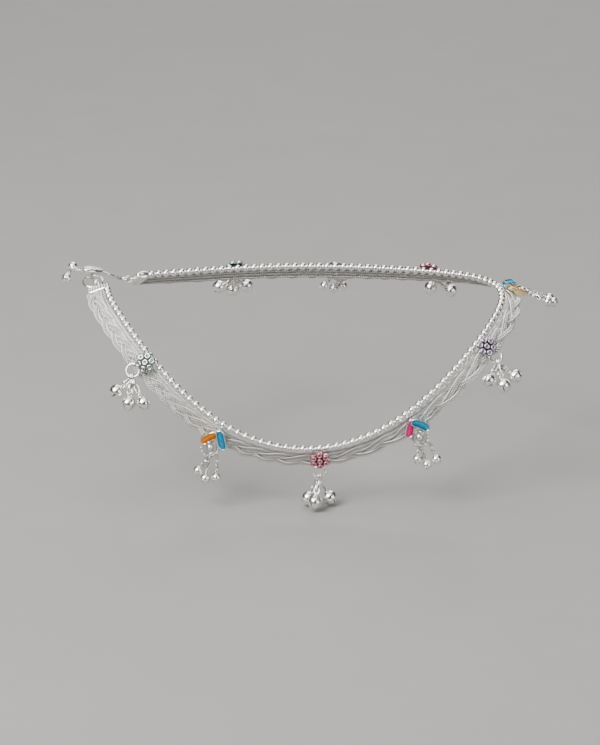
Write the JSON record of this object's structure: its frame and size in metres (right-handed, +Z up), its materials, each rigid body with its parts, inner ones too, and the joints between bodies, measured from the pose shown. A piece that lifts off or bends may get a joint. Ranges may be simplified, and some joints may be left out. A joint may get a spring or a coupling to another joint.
{
  "type": "payal anklet",
  "caption": "Silver ankle chain: a bead strand over a woven band, with enamelled flower and paisley charms, hanging round bells and a ring-and-hook clasp.",
  "frame": {"origin": "midway between the two places where the loop crosses the ridge of the rounded thing it is draped over, at the height of the bead strand's underside there", "axes": "+X along the ridge, from the clasp's side to the other side; +Y towards the back stretch; +Z up"},
  "size_m": [0.1283, 0.0696, 0.052],
  "materials": {
    "silver": "polished silver with darkened recesses",
    "woven_silver": "fine woven silver chains",
    "enamel_green": "glossy enamel between raised silver rings",
    "enamel_crimson": "glossy enamel between raised silver rings",
    "enamel_violet": "glossy enamel between raised silver rings",
    "enamel_charm": "glossy enamel in silver rims"
  },
  "bodies": {
    "root": {"bead_strand": "silver", "clasp_bell_left": "silver", "clasp_bell_right": "silver", "clasp_links": "silver", "clasp_plate": "silver", "clasp_ring": "silver", "end_cap_a": "silver", "end_cap_b": "silver", "flower_1": "enamel_green", "flower_1_bell_left": "silver", "flower_1_bell_mid": "silver", "flower_1_bell_right": "silver", "flower_1_links": "silver", "flower_1_ring": "silver", "flower_2": "enamel_crimson", "flower_2_bell_left": "silver", "flower_2_bell_mid": "silver", "flower_2_bell_right": "silver", "flower_2_links": "silver", "flower_2_ring": "silver", "flower_3": "enamel_violet", "flower_3_bell_left": "silver", "flower_3_bell_mid": "silver", "flower_3_bell_right": "silver", "flower_3_links": "silver", "flower_3_ring": "silver", "flower_4": "enamel_crimson", "flower_4_bell_left": "silver", "flower_4_bell_mid": "silver", "flower_4_bell_right": "silver", "flower_4_links": "silver", "flower_4_ring": "silver", "flower_5": "enamel_green", "flower_5_bell_left": "silver", "flower_5_bell_mid": "silver", "flower_5_bell_right": "silver", "flower_5_links": "silver", "flower_5_ring": "silver", "paisley_1": "enamel_charm", "paisley_1_bell_left": "silver", "paisley_1_bell_mid": "silver", "paisley_1_bell_right": "silver", "paisley_1_links": "silver", "paisley_2": "enamel_charm", "paisley_2_bell_left": "silver", "paisley_2_bell_mid": "silver", "paisley_2_bell_right": "silver", "paisley_2_links": "silver", "paisley_3": "enamel_charm", "paisley_3_bell_left": "silver", "paisley_3_bell_mid": "silver", "paisley_3_bell_right": "silver", "paisley_3_links": "silver", "paisley_4": "enamel_charm", "paisley_4_bell_left": "silver", "paisley_4_bell_mid": "silver", "paisley_4_bell_right": "silver", "paisley_4_links": "silver", "woven_band": "woven_silver"}
  },
  "joints": []
}
